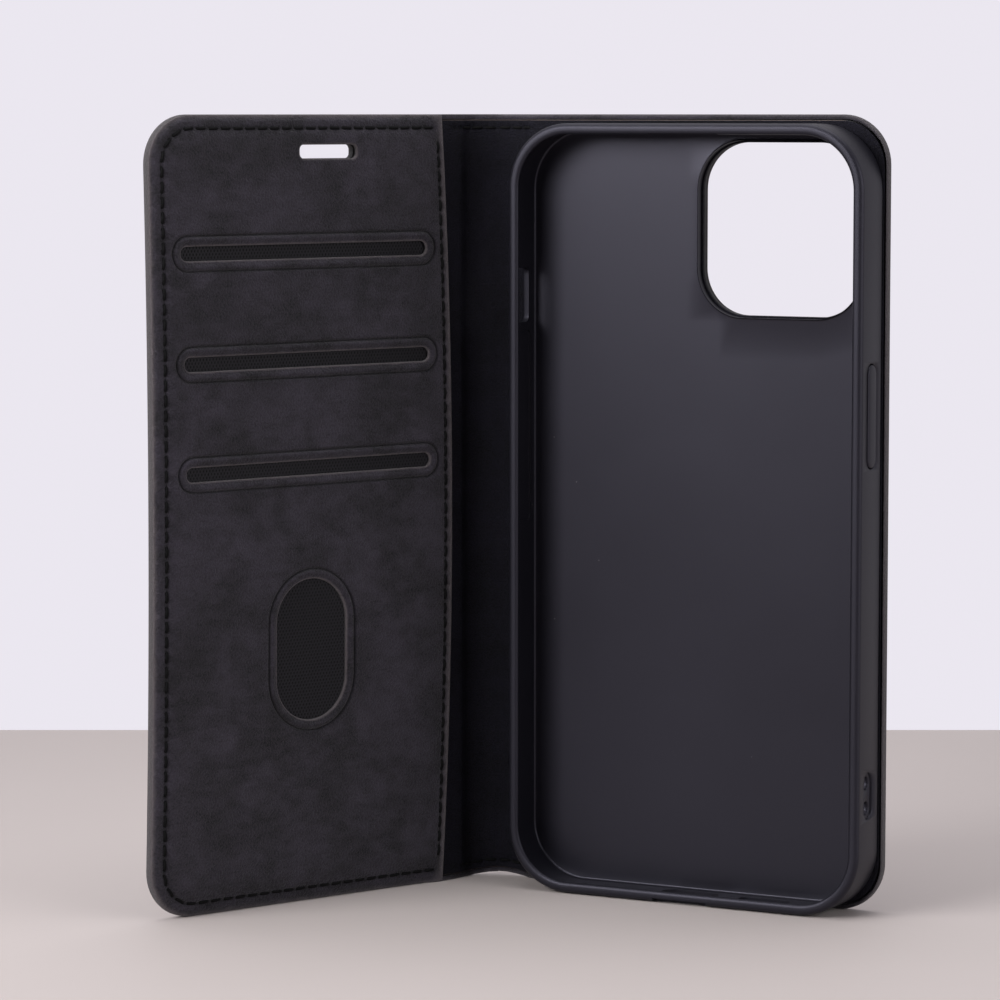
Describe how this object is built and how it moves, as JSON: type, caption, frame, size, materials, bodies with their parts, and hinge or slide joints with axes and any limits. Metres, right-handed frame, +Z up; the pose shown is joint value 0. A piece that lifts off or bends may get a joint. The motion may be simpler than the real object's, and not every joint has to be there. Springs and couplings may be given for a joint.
{
  "type": "phone wallet case",
  "caption": "Folding book-style phone wallet case: leather cover with card slots and a thumb window, soft moulded tray bonded inside, standing half open.",
  "frame": {"origin": "middle of the foot of the whole case's box, as it stands half open on its lower edges", "axes": "+Z up, along the creases and the phone's height; -Y is the way the phone's screen faces; +X from the spine to the back cover's free edge"},
  "size_m": [0.1188, 0.0764, 0.1515],
  "materials": {
    "outer_leather": "matt, brushed, finely mottled",
    "panel_leather": "matt, brushed, finely mottled",
    "lining_leather": "smooth, fine grain",
    "board": "plain",
    "woven": "plain weave",
    "thread": "twisted",
    "tray": "satin moulded",
    "film": "clear satin",
    "magnet": "plated"
  },
  "bodies": {
    "back_cover": {"outer_leather_back": "outer_leather", "back_board": "board", "lining_back": "lining_leather", "back_magnets": "magnet", "bonding_film": "film", "phone_tray": "tray", "thread_back": "thread"},
    "spine": {"outer_leather_spine": "outer_leather", "lining_spine": "lining_leather", "thread_spine": "thread"},
    "front_cover": {"outer_leather_front": "outer_leather", "front_board": "board", "front_magnets": "magnet", "lining_front": "lining_leather", "sleeve_top": "woven", "sleeve_middle": "woven", "sleeve_bottom": "woven", "pocket_panel": "panel_leather", "thread_front": "thread", "thread_pocket": "thread"},
    "power_button": {"power_button": "tray"},
    "volume_up_button": {"volume_up_button": "tray"},
    "volume_down_button": {"volume_down_button": "tray"}
  },
  "joints": [
    {"name": "back_crease", "type": "hinge", "parent": "back_cover", "child": "spine", "pos_m": [-0.01598, 0.03678, 0], "axis": [0, 0, 1], "range_deg": [-109.3, 70.7]},
    {"name": "front_crease", "type": "hinge", "parent": "spine", "child": "front_cover", "pos_m": [-0.03023, 0.03179, 0], "axis": [0, 0, 1], "range_deg": [-138, 42]},
    {"name": "power_press", "type": "slide", "parent": "back_cover", "child": "power_button", "axis": [-1, 0, 0], "range_m": [0, 0.0004], "stiffness_N_per_m": 3000},
    {"name": "volume_up_press", "type": "slide", "parent": "back_cover", "child": "volume_up_button", "axis": [1, 0, 0], "range_m": [0, 0.0004], "stiffness_N_per_m": 3000},
    {"name": "volume_down_press", "type": "slide", "parent": "back_cover", "child": "volume_down_button", "axis": [1, 0, 0], "range_m": [0, 0.0004], "stiffness_N_per_m": 3000}
  ]
}
